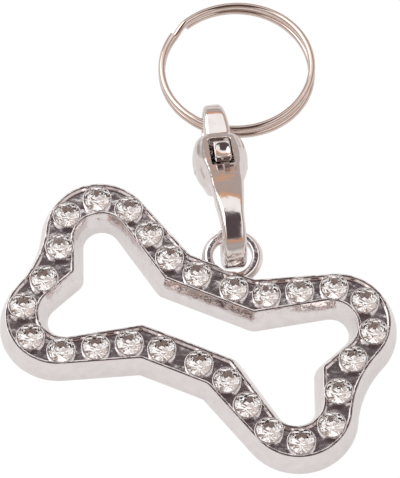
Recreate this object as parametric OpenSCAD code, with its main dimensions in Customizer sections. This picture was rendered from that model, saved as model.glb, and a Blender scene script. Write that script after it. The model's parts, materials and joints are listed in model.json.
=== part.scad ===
// Bone shaped pet tag: a cast open frame set with round stones, a lobster clasp
// hooked through its eyelet, and a two turn split ring through the clasp's eye.
// The tag lies on its back on z = 0 with its long side along x.

/* [Bone outline] */
// Half width of the bone across its shaft, at the face
shaft_half = 6.38; // [6:0.01:7]
// Radius of the blend between the shaft and a sloped side
shaft_blend_r = 1.2; // [1:0.1:2]
// Rise angle of the sloped outer side
outer_slope = 27.5; // [25:0.5:30]
// Distance of a knuckle's centre from the middle, along the bone
knuckle_x = 13.32; // [13:0.01:15]
// Distance of a knuckle's centre from the middle, across the bone
knuckle_y = 5.21; // [5:0.01:6]
// Radius of a knuckle at the face
knuckle_r = 5.49; // [5.2:0.01:5.8]
// Radius of the hollow between the two knuckles of one end
hollow_r = 11.2; // [9:0.1:14]

/* [Bone opening] */
// Half width of the opening along the shaft
slot_half = 2.85; // [2.7:0.01:3]
// Radius of the corner where the opening starts to widen
slot_blend_r = 0.6; // [0.3:0.1:1]
// Rise angle of the opening's sloped side
inner_slope = 33; // [31:0.5:35]
// Distance of the opening's lobe centre from the middle, along the bone
lobe_x = 12.81; // [12.6:0.01:13]
// Distance of the opening's lobe centre from the middle, across the bone
lobe_y = 4.59; // [4.4:0.01:4.8]
// Radius of the opening's lobe
lobe_r = 2.81; // [2.6:0.01:3]
// Lean of the straight sides that meet between the lobes
cusp_lean = 23.9; // [20:0.1:28]
// Radius of the point between the lobes
cusp_r = 0.5; // [0.3:0.1:0.8]

/* [Bone section] */
// Height of the bone
bone_h = 2.85; // [2.7:0.01:3.4]
// How far the outer wall spreads from the face to the back
outer_flare = 0.67; // [0.3:0.01:0.8]
// How far the opening's wall spreads from the face to the back
inner_flare = 0.9; // [0.4:0.01:1]
// Width of the raised rim along both edges
rim_w = 0.3; // [0.25:0.01:0.4]
// Depth of the sunk face between the rims
face_depth = 0.5; // [0.3:0.01:0.6]
// Bevel on each side of a rim
rim_bevel = 0.07; // [0.04:0.01:0.1]

/* [Stones] */
// Diameter of a stone
stone_d = 2.72; // [2.5:0.01:2.8]
// Height of a stone's cut top above its edge
crown_h = 0.5; // [0.3:0.01:0.6]
// Thickness of a stone's edge
girdle_h = 0.08; // [0.05:0.01:0.12]
// Depth of a stone's point below its edge
pavilion_h = 1.0; // [0.8:0.01:1.2]
// Outer diameter of a stone's collar
collar_d = 3.0; // [2.95:0.01:3.1]
// How far a collar stands above the rims
collar_rise = 0.06; // [0:0.01:0.15]
// Gap all round a stone in its seat
stone_clearance = 0.03; // [0.02:0.005:0.04]

/* [Eyelet] */
// Radius of the eyelet's hole
eyelet_hole_r = 2.03; // [2:0.01:2.1]
// Width of the eyelet's bar at its top
eyelet_bar_w = 0.8; // [0.6:0.01:0.9]
// How far the bar spreads toward its underside
eyelet_spread = 0.35; // [0.2:0.01:0.4]
// Height of the eyelet's underside above the back
eyelet_low = 1.75; // [1.7:0.01:1.9]
// Height of the eyelet's top above the back
eyelet_top = 2.7; // [2.5:0.01:2.8]
// Offset of the eyelet from the middle of the bone
eyelet_x = 0.4; // [0:0.1:0.5]
// Distance of the eyelet's centre outside the shaft's side
eyelet_out = 1.77; // [1.7:0.01:1.9]

/* [Clasp body] */
// Outer radius of the clasp's bow
bow_r = 4.1; // [4.05:0.01:4.2]
// Thickness of the hook's bar
hook_t = 1.3; // [1.2:0.01:1.35]
// Width of the hook's bar
hook_w = 2.4; // [2.1:0.01:2.5]
// Radius on the hook bar's edges
hook_edge_r = 0.45; // [0.3:0.01:0.5]
// Distance from the bow's centre to the eye's centre, along the clasp
eye_u = 12.47; // [12.3:0.01:12.8]
// Height of the eye's centre below the bow's centre
eye_drop = 1.5; // [1.4:0.01:1.6]
// Outer radius of the eye
eye_r = 2.55; // [2.4:0.01:2.6]
// Radius of the eye's hole in its middle plane
eye_hole_r = 1.4; // [1.35:0.01:1.5]
// How much the eye's hole opens toward its two faces
eye_flare = 0.42; // [0.3:0.01:0.45]
// Thickness of the eye at its far end
eye_tip_w = 2.05; // [2:0.01:2.2]
// Thickness of the clasp where the eye joins the body
eye_root_w = 2.77; // [2.6:0.01:2.9]
// Start of the body behind the hook's free space
body_u = 4.7; // [4.6:0.01:4.9]
// Width of the clasp's back where the body starts
back_w = 3.55; // [3.3:0.01:3.8]
// Widest width of the clasp's flat back
back_wide_w = 4.2; // [4:0.01:4.4]
// Width across the two domed cheeks
cheek_w = 5.75; // [5.6:0.01:5.9]
// Radius of a domed cheek
cheek_r = 3.45; // [3.3:0.01:3.6]
// How far a dome stands out over its own edge
cheek_rise = 1.6; // [1.4:0.01:1.7]
// Distance of the dome's centre from the bow's centre
cheek_u = 8.2; // [8:0.01:8.4]
// Height of the dome's centre below the bow's centre
cheek_drop = 0.6; // [0.5:0.01:0.7]
// Thickness of the clasp's back over the lever
roof_t = 1.05; // [1:0.01:1.1]
// Thickness of the floor under the spring
floor_t = 1.0; // [0.8:0.01:1.1]
// How far the round front of the body stands out past the domed cheeks
front_margin = 0.12; // [0.1:0.01:0.2]
// Length of the shallow notch beside the thumb slot
notch_len = 1.1; // [0.9:0.01:1.2]
// Width of that notch
notch_w = 1.2; // [1:0.01:1.3]
// Depth of that notch
notch_depth = 0.25; // [0.15:0.01:0.35]

/* [Clasp lever] */
// Distance of the rivet from the bow's centre
pivot_u = 7.6; // [7.5:0.01:7.7]
// Height of the rivet below the bow's centre
pivot_drop = 0.9; // [0.85:0.01:0.95]
// Radius of the rivet
rivet_r = 0.58; // [0.5:0.01:0.62]
// Length of the rivet
rivet_len = 5.5; // [5.3:0.01:5.6]
// Thickness of the lever
lever_w = 1.7; // [1.5:0.01:1.8]
// Gap on each side of the lever inside the body
lever_side_gap = 0.32; // [0.2:0.01:0.35]
// Running gap round the rivet
rivet_gap = 0.04; // [0.03:0.005:0.05]
// Radius of the lever's hub
hub_r = 1.15; // [1.05:0.01:1.2]
// Reach of the hook's nose past the bow's centre
nose_u = 1.4; // [1.35:0.01:1.45]
// Thickness of the gate
gate_t = 1.05; // [0.9:0.01:1.1]
// Gap between the nose and the gate's tip
gate_gap = 0.06; // [0.05:0.01:0.1]
// Length of the thumb knob
knob_len = 2.1; // [1.9:0.01:2.2]
// Start of the thumb knob, along the clasp
knob_u = 6.5; // [6.45:0.01:6.6]
// How far the knob stands above the clasp's back
knob_rise = 0.95; // [0.7:0.01:1.1]
// Length of the slot that the knob travels in
thumb_slot_len = 3.55; // [3.5:0.01:3.6]
// Gap between the knob and the slot's front end
knob_front_gap = 0.2; // [0.15:0.01:0.25]

/* [Trigger spring] */
// Outer diameter of the spring
spring_d = 1.0; // [0.9:0.01:1.05]
// Diameter of the spring's wire
spring_wire_d = 0.2; // [0.18:0.01:0.22]
// Turns of the spring
spring_turns = 3.5; // [3:0.5:4]
// Distance of the spring behind the rivet
spring_back = 1.63; // [1.6:0.01:1.65]

/* [Split ring] */
// Diameter of the ring's wire
wire_d = 0.72; // [0.68:0.01:0.75]
// Mean radius of the ring
ring_r = 7.9; // [7.5:0.1:8.2]
// Least distance between the middles of the two turns
turn_pitch = 0.78; // [0.78:0.01:0.82]
// How far the turns are spread apart opposite the wire's ends
turn_spread = 0.78; // [0.6:0.01:0.85]

/* [How it lies] */
// Turn of the clasp from the tag's crosswise direction
clasp_turn = 30.2; // [28:0.1:32]
// Sideways lean of the clasp
clasp_lean = 2.5; // [2:0.1:4]
// Distance of the bow's centre from the eyelet's centre, along the clasp
bow_reach = 2.26; // [2.24:0.01:2.3]
// Height of the bow's centre above its lowest point
bow_lift = 0.06; // [0.05:0.01:0.2]
// Turn of the ring's hinge line from the tag's long side
ring_turn = 5.6; // [3:0.1:8]
// Drop of the ring from the eye to its far side
ring_drop = 6.4; // [6:0.1:6.9]
// Sideways lean of the ring
ring_lean = 2; // [1:0.1:2]

/* [Hidden] */
// Colours of the metal, the wire and the stones
metal_colour = [0.78, 0.77, 0.78];
wire_colour = [0.74, 0.68, 0.68];
stone_colour = [0.9, 0.94, 0.97];

// One overrun for every cut
cut_over = 0.05;
// Smoothness of the round surfaces
round_fn = 64;
small_fn = 32;

// Stations of the stones, as shares of the way from the shaft's middle to the end's middle
stone_place_shares = [0.08, 0.216, 0.35, 0.488, 0.628, 0.773, 0.921];
// Steps along the stretches of a quarter outline: shaft, blend, slope, knuckle
outline_steps = [2, 4, 3, 14];
// Steps of the cusp's straight side and of its point
cusp_steps = [3, 3];
// Steps up a flared wall
wall_steps = 4;

// Radii and heights of a stone's cut, as shares of its radius and its crown
table_share = 0.56;
star_share = 0.8;
lower_share = 0.8;
stone_sides = 8;
// Height that keeps each kite facet flat from the table to the edge
star_height_share = 1 - (star_share * cos(180 / stone_sides) - table_share) / (1 - table_share);
// Height of the bowed side of the eyelet, and of the shoulder over it
eyelet_belly_share = 0.3;
eyelet_shoulder_share = 0.6;
// Places and widths of the clasp's back between the bow, the body's front and the cheeks' middle
neck_width_share = 0.35;
back_place_shares = [0.5, 0.85];
back_width_share = 0.75;
// Where the back and the body have narrowed to the eye, as shares of the cheeks' radius
narrow_place_shares = [0.33, 0.72, 0.75];
// How far the eye's mouth opens past the cheeks, as a share of the ring's wire
mouth_share = 0.6;
// Ends of the spring's path inside its room, as shares of its wire
spring_end_shares = [0.6, 0.8];
// Least part of a turn between two stretches that are measured against each other
turn_share = 0.6;

function stone_count() = 4 * len(stone_place_shares);
function stone_name(i) = str("stone_", i < 9 ? "0" : "", i + 1);

// Directions, turns and joins of flat points
function dir(a) = [cos(a), sin(a)];
function mix(a, b, t) = a + (b - a) * t;
function with_normal(p, a) = [p[0], p[1], cos(a), sin(a)];

// A quarter outline from the shaft's middle round to the end's middle. Each point holds its
// place and its normal, so that the same outline can be drawn larger or smaller.
function quarter(half, blend, slope, c, r, end_r, end_a, n_line, n_end) =
    let (a_up = 90 + slope)
    let (reach = dir(a_up) * c + r)
    let (blend_c = [(reach + blend - sin(a_up) * (half + blend)) / cos(a_up), half + blend])
    let (end_c = [(dir(end_a) * c + r + end_r) / cos(end_a), 0])
    let (slope_start = blend_c - blend * dir(a_up), slope_end = c + r * dir(a_up))
    let (line_start = c + r * dir(end_a), line_end = end_c - end_r * dir(end_a))
    let (n = outline_steps)
    concat(
        [for (i = [0 : n[0] - 1]) with_normal([blend_c[0] * i / n[0], half], 90)],
        [for (i = [0 : n[1]]) let (a = mix(90, a_up, i / n[1])) with_normal(blend_c - blend * dir(a), a)],
        [for (i = [1 : n[2] - 1]) with_normal(mix(slope_start, slope_end, i / n[2]), a_up)],
        [for (i = [0 : n[3]]) let (a = mix(a_up, end_a, i / n[3])) with_normal(c + r * dir(a), a)],
        [for (i = [1 : 1 : n_line - 1]) with_normal(mix(line_start, line_end, i / n_line), end_a)],
        [for (i = [(n_line > 0 ? 0 : 1) : n_end])
            let (a = mix(end_a, 0, i / n_end)) with_normal(end_c - end_r * dir(a), a)]);

// The whole loop from its quarter, mirrored both ways
function flip(p, sx, sy) = [p[0] * sx, p[1] * sy, p[2] * sx, p[3] * sy];
function loop_of(q) =
    let (n = len(q))
    concat(q,
        [for (i = [n - 2 : -1 : 0]) flip(q[i], 1, -1)],
        [for (i = [1 : n - 1]) flip(q[i], -1, -1)],
        [for (i = [n - 2 : -1 : 1]) flip(q[i], -1, 1)]);

hollow_angle = -asin(knuckle_y / (knuckle_r + hollow_r));
outer_quarter = quarter(shaft_half, shaft_blend_r, outer_slope, [knuckle_x, knuckle_y], knuckle_r,
                        hollow_r, hollow_angle, 0, cusp_steps[0] + cusp_steps[1]);
inner_quarter = quarter(slot_half, slot_blend_r, inner_slope, [lobe_x, lobe_y], lobe_r,
                        cusp_r, -cusp_lean, cusp_steps[0], cusp_steps[1]);
outer_loop = loop_of(outer_quarter);
inner_loop = loop_of(inner_quarter);
loop_count = len(outer_loop);

function grown(p, d, z) = [p[0] + p[2] * d, p[1] + p[3] * d, z];

// The frame's section: up the flared outer wall, over the rim, across the sunk face, over the
// inner rim and down the opening's flared wall. Each row holds its side, its growth and its height.
wall_top = bone_h - rim_bevel;
face_z = bone_h - face_depth;
function flare_at(t) = cos(90 * t);
section_rows = concat(
    [for (i = [0 : wall_steps]) let (t = i / wall_steps) [0, outer_flare * flare_at(t), wall_top * t]],
    [[0, -rim_bevel, bone_h], [0, rim_bevel - rim_w, bone_h], [0, -rim_w, face_z],
     [1, rim_w, face_z], [1, rim_w - rim_bevel, bone_h], [1, rim_bevel, bone_h]],
    [for (i = [wall_steps : -1 : 0]) let (t = i / wall_steps) [1, -inner_flare * flare_at(t), wall_top * t]]);
row_count = len(section_rows);

module frame_skin() {
    points = [for (row = section_rows) for (p = row[0] == 0 ? outer_loop : inner_loop) grown(p, row[1], row[2])];
    faces = [for (k = [0 : row_count - 1]) for (i = [0 : loop_count - 1])
        let (k2 = (k + 1) % row_count, i2 = (i + 1) % loop_count)
        let (a = k * loop_count + i, b = k * loop_count + i2)
        let (c = k2 * loop_count + i2, d = k2 * loop_count + i)
        each [[a, b, c], [a, c, d]]];
    polyhedron(points = points, faces = faces, convexity = 8);
}

// The band's middle line, and a place on it from a share of its length
middle_line = [for (i = [0 : len(outer_quarter) - 1])
    [(outer_quarter[i][0] + inner_quarter[i][0]) / 2, (outer_quarter[i][1] + inner_quarter[i][1]) / 2]];
function run_length(i) = i == 0 ? 0 : run_length(i - 1) + norm(middle_line[i] - middle_line[i - 1]);
middle_runs = [for (i = [0 : len(middle_line) - 1]) run_length(i)];
middle_length = middle_runs[len(middle_runs) - 1];
function place_at(s, i = 1) =
    s <= middle_runs[i]
        ? mix(middle_line[i - 1], middle_line[i], (s - middle_runs[i - 1]) / (middle_runs[i] - middle_runs[i - 1]))
        : place_at(s, i + 1);

// Stone i counts round the quarters: far right, near right, near left, far left
function stone_place(i) =
    let (side = floor(i / len(stone_place_shares)), k = i % len(stone_place_shares))
    let (p = place_at(stone_place_shares[k] * middle_length))
    [p[0] * (side == 0 || side == 1 ? 1 : -1), p[1] * (side == 0 || side == 3 ? 1 : -1)];

girdle_z = bone_h + collar_rise - girdle_h;
stone_r = stone_d / 2;

module on_bone() {
    translate([0, bone_y, 0]) children();
}

// The collars round the stones, from the sunk face up
module collars() {
    for (i = [0 : stone_count() - 1]) {
        translate([stone_place(i)[0], stone_place(i)[1], face_z - cut_over])
            cylinder(d = collar_d, h = face_depth + collar_rise + cut_over, $fn = small_fn);
    }
}

// A cup with straight sides at the edge of the stone and a pointed bottom
module seats() {
    seat_r = stone_r + stone_clearance;
    for (i = [0 : stone_count() - 1]) {
        translate([stone_place(i)[0], stone_place(i)[1], 0])
            rotate_extrude($fn = small_fn)
                polygon([[0, girdle_z - pavilion_h - stone_clearance * 2],
                         [seat_r, girdle_z - stone_clearance],
                         [seat_r, bone_h + collar_rise + cut_over],
                         [0, bone_h + collar_rise + cut_over]]);
    }
}

eyelet_y = shaft_half + eyelet_out;
eyelet_r = eyelet_hole_r + eyelet_bar_w;
eyelet_bevel = eyelet_bar_w / 6;

// The eyelet's bar, bowed out toward its underside
module eyelet_ring() {
    belly_z = mix(eyelet_low, eyelet_top, eyelet_belly_share);
    translate([eyelet_x, eyelet_y, 0])
        rotate_extrude($fn = round_fn)
            polygon([[eyelet_hole_r - cut_over, eyelet_low],
                     [eyelet_r + eyelet_spread / 2, eyelet_low],
                     [eyelet_r + eyelet_spread, belly_z],
                     [eyelet_r + eyelet_spread / 2, mix(belly_z, eyelet_top, eyelet_shoulder_share)],
                     [eyelet_r - eyelet_bevel, eyelet_top],
                     [eyelet_hole_r - cut_over, eyelet_top]]);
}

module bone_frame() {
    color(metal_colour)
        on_bone()
            difference() {
                union() {
                    frame_skin();
                    difference() {
                        eyelet_ring();
                        // The ring stops inside the frame's outer wall
                        translate([-shaft_half, -cut_over, 0])
                            cube([2 * shaft_half, shaft_half - rim_w + cut_over, bone_h]);
                    }
                    collars();
                }
                seats();
                translate([eyelet_x, eyelet_y, -cut_over])
                    cylinder(r = eyelet_hole_r, h = bone_h + 2 * cut_over, $fn = round_fn);
            }
}

// A cut stone: flat table, eight star and eight kite facets, thin edge and pointed back
module stone(i) {
    half_turn = 180 / stone_sides;
    color(stone_colour)
        on_bone()
            translate([stone_place(i)[0], stone_place(i)[1], girdle_z])
                hull() {
                    translate([0, 0, girdle_h])
                        linear_extrude(crown_h)
                            circle(r = stone_r * table_share, $fn = stone_sides);
                    rotate([0, 0, half_turn])
                        linear_extrude(girdle_h + crown_h * star_height_share)
                            circle(r = stone_r * star_share, $fn = stone_sides);
                    linear_extrude(girdle_h)
                        circle(r = stone_r, $fn = 2 * stone_sides);
                    translate([0, 0, -pavilion_h])
                        cylinder(r1 = 0, r2 = stone_r * lower_share, h = pavilion_h * lower_share, $fn = stone_sides);
                }
}

// The clasp is drawn from its side: x runs from the bow to the eye, y is up, z is across.
// The bow's centre is the origin.
bow_z = bow_r + bow_lift;
clasp_dir = dir(90 + clasp_turn);
// Sideways shift of the bow, so that the leaning hook passes the eyelet's middle
eyelet_shift = (bow_z - (eyelet_low + eyelet_top) / 2) * sin(clasp_lean);
bow_place = [eyelet_x + bow_reach * clasp_dir[0] + eyelet_shift * clasp_dir[1],
             eyelet_y + bow_reach * clasp_dir[1] - eyelet_shift * clasp_dir[0], bow_z];

module in_clasp() {
    on_bone()
        translate(bow_place)
            rotate([0, 0, 90 + clasp_turn])
                rotate([clasp_lean, 0, 0])
                    rotate([90, 0, 0])
                        children();
}

// Places in the clasp's side view
eye_c = [eye_u, -eye_drop];
pivot_c = [pivot_u, -pivot_drop];
cheek_c = [cheek_u, -cheek_drop];
bow_in = bow_r - hook_t;

// The back's line touches the bow and the eye from above, the belly's line from below
eye_way = atan2(eye_c[1], eye_c[0]);
eye_far = norm(eye_c);
back_a = 90 + eye_way - asin((bow_r - eye_r) / eye_far);
belly_a = eye_way - 90 + asin((bow_r - eye_r) / eye_far);
back_start = bow_r * dir(back_a);
back_dir = dir(back_a - 90);
function on_back(s, n) = back_start + s * back_dir + n * dir(back_a);
// Distance along the back's line at a place along the clasp
function back_s(u, n = 0) = (u - back_start[0] - n * cos(back_a)) / back_dir[0];
function back_at(u, n = 0) = on_back(back_s(u, n), n)[1];
function belly_at(u) = bow_r * sin(belly_a) + (u - bow_r * cos(belly_a)) * tan(belly_a + 90);

function arc(c, r, a0, a1, n) = [for (i = [0 : n]) c + r * dir(mix(a0, a1, i / n))];

// Half a bar's section with round edges, from one face round to the other
edge_steps = 4;
function bar_section(depth, half_w, r) = concat(
    arc([-depth + r, -half_w + r], r, 180, 270, edge_steps),
    arc([-r, -half_w + r], r, 270, 360, edge_steps),
    arc([-r, half_w - r], r, 0, 90, edge_steps),
    arc([-depth + r, half_w - r], r, 90, 180, edge_steps));

// The hook: round the bow, then straight along the belly to the nose
module hook() {
    section = bar_section(hook_t, hook_w / 2, hook_edge_r);
    bow_span = 360 - (back_a - belly_a);
    rotate([0, 0, back_a])
        rotate_extrude(angle = bow_span, $fn = round_fn)
            translate([bow_r, 0])
                polygon(section);
    rotate([0, 0, belly_a])
        rotate([-90, 0, 0])
            translate([bow_r, 0, 0])
                linear_extrude(nose_u - bow_r * cos(belly_a))
                    polygon(section);
}

// Stations of the clasp's back: distance along it, width there, and how far it lies inside the
// full section, so that its first stretch is sunk into the bow
weld_inset = 0.06;
back_stations = [
    [-hook_edge_r, hook_w, weld_inset],
    [hook_edge_r, hook_w, 0],
    [back_s(bow_r / 2), mix(hook_w, back_w, neck_width_share), 0],
    [back_s(body_u), back_w, 0],
    [back_s(mix(body_u, cheek_u, back_place_shares[0])), mix(back_w, back_wide_w, back_width_share), 0],
    [back_s(mix(body_u, cheek_u, back_place_shares[1])), back_wide_w, 0],
    [back_s(cheek_u + cheek_r * narrow_place_shares[0]), (back_wide_w + eye_root_w) / 2, 0],
    [back_s(cheek_u + cheek_r * narrow_place_shares[2]), eye_root_w, 0]];

// The back: a bar with round edges that widens over the body, skinned through its stations
module back_bar() {
    rings = [for (st = back_stations)
        [for (p = bar_section(hook_t - 2 * st[2], st[1] / 2 - st[2], hook_edge_r - st[2]))
            let (q = on_back(st[0], p[0] - st[2])) [q[0], q[1], p[1]]]];
    n = len(rings[0]);
    last = len(rings) - 1;
    sides = [for (k = [0 : last - 1]) for (i = [0 : n - 1])
        let (a = k * n + i, b = k * n + (i + 1) % n)
        each [[a, b + n, b], [a, a + n, b + n]]];
    faces = concat([[for (i = [0 : n - 1]) i]], sides, [[for (i = [n - 1 : -1 : 0]) last * n + i]]);
    polyhedron(points = [for (r = rings) each r], faces = faces, convexity = 4);
}

// Side view of the body and the eye, a little inside the back's line, with a round front
body_sink = hook_t / 3;
front_r = cheek_r + front_margin;
module body_side() {
    eye_steps = 20;
    front_steps = 10;
    front_low = cheek_c[1] - belly_at(cheek_u);
    front_a = 180 + asin(min(1, front_low / front_r));
    polygon(concat(
        [[body_u, back_at(body_u, -body_sink)]],
        arc(eye_c, eye_r, back_a, belly_a, eye_steps),
        arc(cheek_c, front_r, front_a, 195, front_steps),
        [[body_u, cheek_c[1]]]));
}

// Top view of the body: wide at the cheeks, narrow at the eye
module body_plan() {
    half = [[body_u - hook_t, back_w / 2 - rim_w],
            [mix(body_u, cheek_u, back_place_shares[0]), back_wide_w / 2 - rim_w / 2],
            [cheek_u + cheek_r / 4, back_wide_w / 2 - rim_w / 2],
            [cheek_u + cheek_r * narrow_place_shares[1], eye_root_w / 2],
            [eye_u + eye_r + cut_over, eye_tip_w / 2]];
    polygon(concat(half, [for (i = [len(half) - 1 : -1 : 0]) [half[i][0], -half[i][1]]]));
}

// The domed cheeks, one lens turned about the line across the clasp
module cheeks() {
    edge_half = cheek_w / 2 - cheek_rise;
    ball_r = (cheek_r * cheek_r + cheek_rise * cheek_rise) / (2 * cheek_rise);
    span = asin(cheek_r / ball_r);
    dome = arc([0, cheek_w / 2 - ball_r], ball_r, 90, 90 - span, 8);
    translate([cheek_c[0], cheek_c[1], 0])
        rotate_extrude($fn = round_fn)
            polygon(concat(dome, [for (i = [len(dome) - 1 : -1 : 0]) [dome[i][0], -dome[i][1]]]));
}

cavity_w = lever_w + 2 * lever_side_gap;
cavity_end_u = knob_u - knob_front_gap + thumb_slot_len;
floor_u = cavity_end_u - spring_d - lever_side_gap;

// The room for the lever: open to the hook's inside and below, closed behind and over the spring
module cavity() {
    translate([0, 0, -cavity_w / 2])
        linear_extrude(cavity_w)
            polygon([[body_u - hook_t, back_at(body_u - hook_t, -hook_t)],
                     [body_u, back_at(body_u, -hook_t)],
                     [knob_u - knob_front_gap, back_at(knob_u - knob_front_gap, -roof_t)],
                     [cavity_end_u, back_at(cavity_end_u, -roof_t)],
                     [cavity_end_u, belly_at(cavity_end_u) + floor_t],
                     [floor_u, belly_at(floor_u) + floor_t],
                     [floor_u, belly_at(floor_u) - bow_lift],
                     [body_u - hook_t, belly_at(body_u) - bow_lift]]);
}

// The slot in the back for the thumb knob
module thumb_slot() {
    translate([0, 0, -cavity_w / 2])
        linear_extrude(cavity_w)
            polygon([[knob_u - knob_front_gap, 0],
                     [cavity_end_u, 0],
                     [cavity_end_u, bow_r],
                     [knob_u - knob_front_gap, bow_r]]);
}

// A shallow notch in the back, in front of the slot and to its right
module side_notch() {
    notch_end = knob_u - 2 * knob_front_gap;
    depth_line = -notch_depth;
    translate([0, 0, cavity_w / 2 - notch_w])
        linear_extrude(notch_w)
            polygon([[notch_end - notch_len, back_at(notch_end - notch_len, depth_line)],
                     [notch_end, back_at(notch_end, depth_line)],
                     [notch_end, bow_r],
                     [notch_end - notch_len, bow_r]]);
}

// The hole for the split ring, narrow in the middle, flared to both faces and past the cheeks
module eye_hole() {
    half = eye_root_w / 2 + cut_over;
    cheek_half = cheek_w / 2;
    mouth_r = eye_hole_r + eye_flare + wire_d * mouth_share;
    steps = 10;
    throat = [for (i = [0 : steps]) let (a = mix(-90, 90, i / steps))
        [eye_hole_r + eye_flare * (1 - cos(a)), half * sin(a)]];
    translate([eye_c[0], eye_c[1], 0])
        rotate_extrude($fn = round_fn)
            polygon(concat([[0, -cheek_half], [mouth_r, -cheek_half]], throat,
                           [[mouth_r, cheek_half], [0, cheek_half]]));
}

module clasp_body() {
    color(metal_colour)
        in_clasp()
            difference() {
                union() {
                    hook();
                    back_bar();
                    intersection() {
                        translate([0, 0, -cheek_w / 2])
                            linear_extrude(cheek_w)
                                body_side();
                        union() {
                            translate([0, bow_r, 0])
                                rotate([90, 0, 0])
                                    linear_extrude(2 * bow_r + eye_drop)
                                        body_plan();
                            cheeks();
                        }
                    }
                }
                cavity();
                thumb_slot();
                side_notch();
                eye_hole();
                translate([pivot_c[0], pivot_c[1], -cheek_w / 2])
                    cylinder(r = rivet_r + rivet_gap / 2, h = cheek_w, $fn = small_fn);
            }
}

// The lever: a gate that closes the hook, a hub on the rivet, a thumb knob and a spring tail
gate_out = belly_at(nose_u) + bow_lift;
// The gate's end runs just clear of the nose's inner corner as it swings in
gate_reach = norm([pivot_u - nose_u, bow_in - pivot_drop]) - gate_gap;
function gate_end_u(w) = pivot_u - sqrt(pow(gate_reach, 2) - pow(w + pivot_drop, 2));
tail_u = cavity_end_u - lever_side_gap / 2;
tail_low = -pivot_drop - rivet_r;
knob_top = back_at(knob_u) + knob_rise;
module lever_side() {
    hub_low = -pivot_drop - hub_r;
    knob_end = knob_u + knob_len;
    neck_end = knob_end - knob_front_gap;
    polygon([[gate_end_u(gate_out), gate_out],
             [body_u, belly_at(body_u) + bow_lift],
             [pivot_u - hub_r / 2, hub_low],
             [pivot_u + hub_r / 2, hub_low],
             [pivot_u + hub_r, tail_low],
             [tail_u, tail_low],
             [tail_u, -pivot_drop + rivet_r / 2],
             [pivot_u + hub_r, -pivot_drop + rivet_r],
             [neck_end, back_at(neck_end, -roof_t)],
             [knob_end, knob_top - knob_rise / 2],
             [knob_end - knob_rise / 3, knob_top - knob_rise / 6],
             [knob_u + knob_rise / 3, knob_top],
             [knob_u, knob_top - knob_rise / 3],
             [knob_u, -pivot_drop + hub_r],
             [body_u, gate_out + gate_t],
             [gate_end_u(gate_out + gate_t), gate_out + gate_t]]);
}

module trigger_lever() {
    color(metal_colour)
        in_clasp()
            difference() {
                union() {
                    translate([0, 0, -lever_w / 2])
                        linear_extrude(lever_w)
                            lever_side();
                    translate([pivot_c[0], pivot_c[1], -lever_w / 2])
                        cylinder(r = hub_r, h = lever_w, $fn = small_fn);
                }
                translate([pivot_c[0], pivot_c[1], -lever_w / 2 - cut_over])
                    cylinder(r = rivet_r + rivet_gap, h = lever_w + 2 * cut_over, $fn = small_fn);
            }
}

module lever_rivet() {
    color(metal_colour)
        in_clasp()
            translate([pivot_c[0], pivot_c[1], -rivet_len / 2])
                cylinder(r = rivet_r, h = rivet_len, $fn = small_fn);
}

// A tube swept along points, each ring square to the path
function unit(v) = v / norm(v);
function tube_points(path, r, sides) =
    [for (i = [0 : len(path) - 1])
        let (t = unit(path[min(i + 1, len(path) - 1)] - path[max(i - 1, 0)]))
        let (side = unit(cross(t, [0, 0, 1])), up = cross(side, t))
        for (k = [0 : sides - 1]) path[i] + r * (cos(360 * k / sides) * side + sin(360 * k / sides) * up)];
function tube_faces(rings, n) = concat(
    [[for (i = [n - 1 : -1 : 0]) i]],
    [for (k = [0 : rings - 2]) for (i = [0 : n - 1])
        let (a = k * n + i, b = k * n + (i + 1) % n)
        each [[a, b, b + n], [a, b + n, a + n]]],
    [[for (i = [0 : n - 1]) (rings - 1) * n + i]]);

// Least gap between stretches of one tube that lie at least half a turn apart
function least_gap(path, skip, d) =
    min([for (i = [0 : len(path) - 1 - skip]) for (j = [i + skip : len(path) - 1]) norm(path[i] - path[j])]) - d;

// The spring stands between the cavity's floor and the lever's tail
spring_steps = 10;
spring_sides = 6;
spring_low = belly_at(pivot_u + spring_back) + floor_t + spring_wire_d * spring_end_shares[0];
spring_high = tail_low - spring_wire_d * spring_end_shares[1];
spring_r = (spring_d - spring_wire_d) / 2;
spring_path = [for (i = [0 : spring_turns * spring_steps])
    let (t = i / (spring_turns * spring_steps))
    [spring_r * cos(360 * i / spring_steps), spring_r * sin(360 * i / spring_steps), mix(spring_low, spring_high, t)]];
echo(least_gap_between_spring_turns = least_gap(spring_path, spring_steps * turn_share, spring_wire_d));

module trigger_spring() {
    color(wire_colour)
        in_clasp()
            translate([pivot_u + spring_back, 0, 0])
                rotate([-90, 0, 0])
                    polyhedron(points = tube_points(spring_path, spring_wire_d / 2, spring_sides),
                               faces = tube_faces(len(spring_path), spring_sides), convexity = 8);
}

// The split ring in its own frame: x along its hinge line, y from the eye to its centre
ring_steps = 32;
ring_sides = 8;
jog_angle = 158;
jog_half = 8;
spread_angle = 7;
function turn_gap(a) = turn_pitch + turn_spread * pow((1 + cos(a - spread_angle)) / 2, 2);
// The wire runs twice round and steps up by one turn where its ends are
ring_sweep = 720 - 2 * jog_half;
function ring_level(s) =
    s < 360 - 2 * jog_half ? -1 : s > 360 ? 1 : -cos(180 * (s - 360 + 2 * jog_half) / (2 * jog_half));
ring_points = [for (i = [0 : 2 * ring_steps])
    let (s = ring_sweep * i / (2 * ring_steps), a = jog_angle - jog_half - s)
    [ring_r * cos(a), ring_r * (1 + sin(a)), ring_level(s) * turn_gap(a) / 2]];
echo(least_gap_between_ring_turns = least_gap(ring_points, ring_steps * turn_share, wire_d));

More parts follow.
